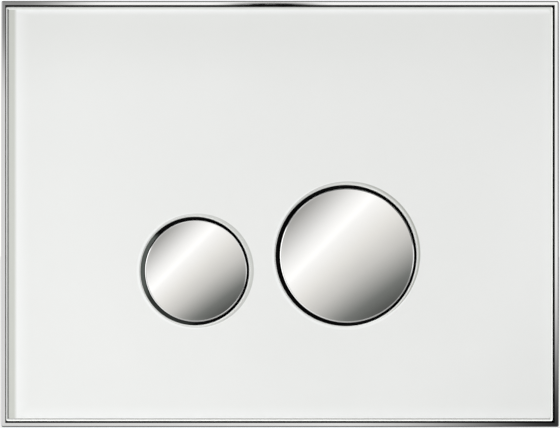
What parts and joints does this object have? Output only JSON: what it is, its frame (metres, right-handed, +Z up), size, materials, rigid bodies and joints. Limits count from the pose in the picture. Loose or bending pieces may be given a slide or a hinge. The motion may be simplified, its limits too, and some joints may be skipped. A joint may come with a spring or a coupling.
{
  "type": "flush button plate",
  "caption": "Wall plate for a concealed cistern: white glass in a slim chrome surround, with a small and a large round sprung key that work push rods.",
  "frame": {"origin": "on the wall's face, behind the middle of the plate", "axes": "+X to the right as the user sees the plate, +Y into the wall, +Z up"},
  "size_m": [0.216, 0.072, 0.165],
  "materials": {
    "chrome": "polished",
    "white_glass": "polished, white lacquer behind",
    "foam": "matt foam tape",
    "black_plastic": "moulded, matt",
    "white_plastic": "moulded, satin",
    "grey_plastic": "moulded, matt",
    "steel": "zinc plated"
  },
  "bodies": {
    "plate": {"surround_frame": "chrome", "glass_panel": "white_glass", "bonding_tape": "foam", "carrier_plate": "black_plastic", "mounting_frame": "grey_plastic", "snap_clips": "steel", "fixing_washers": "steel", "fixing_bolts": "steel", "full_flush_return_spring": "steel", "half_flush_return_spring": "steel"},
    "full_flush_key": {"full_flush_key_cap": "chrome", "full_flush_plunger": "white_plastic", "full_flush_retaining_clip": "steel", "full_flush_push_rod": "white_plastic", "full_flush_lock_nut": "black_plastic"},
    "half_flush_key": {"half_flush_key_cap": "chrome", "half_flush_plunger": "white_plastic", "half_flush_retaining_clip": "steel", "half_flush_push_rod": "white_plastic", "half_flush_lock_nut": "black_plastic"}
  },
  "joints": [
    {"name": "full_flush_press", "type": "slide", "parent": "plate", "child": "full_flush_key", "axis": [0, 1, 0], "range_m": [0, 0.006], "stiffness_N_per_m": 600, "springref_m": -0.012, "deforming": ["full_flush_return_spring"]},
    {"name": "half_flush_press", "type": "slide", "parent": "plate", "child": "half_flush_key", "axis": [0, 1, 0], "range_m": [0, 0.006], "stiffness_N_per_m": 600, "springref_m": -0.012, "deforming": ["half_flush_return_spring"]}
  ]
}
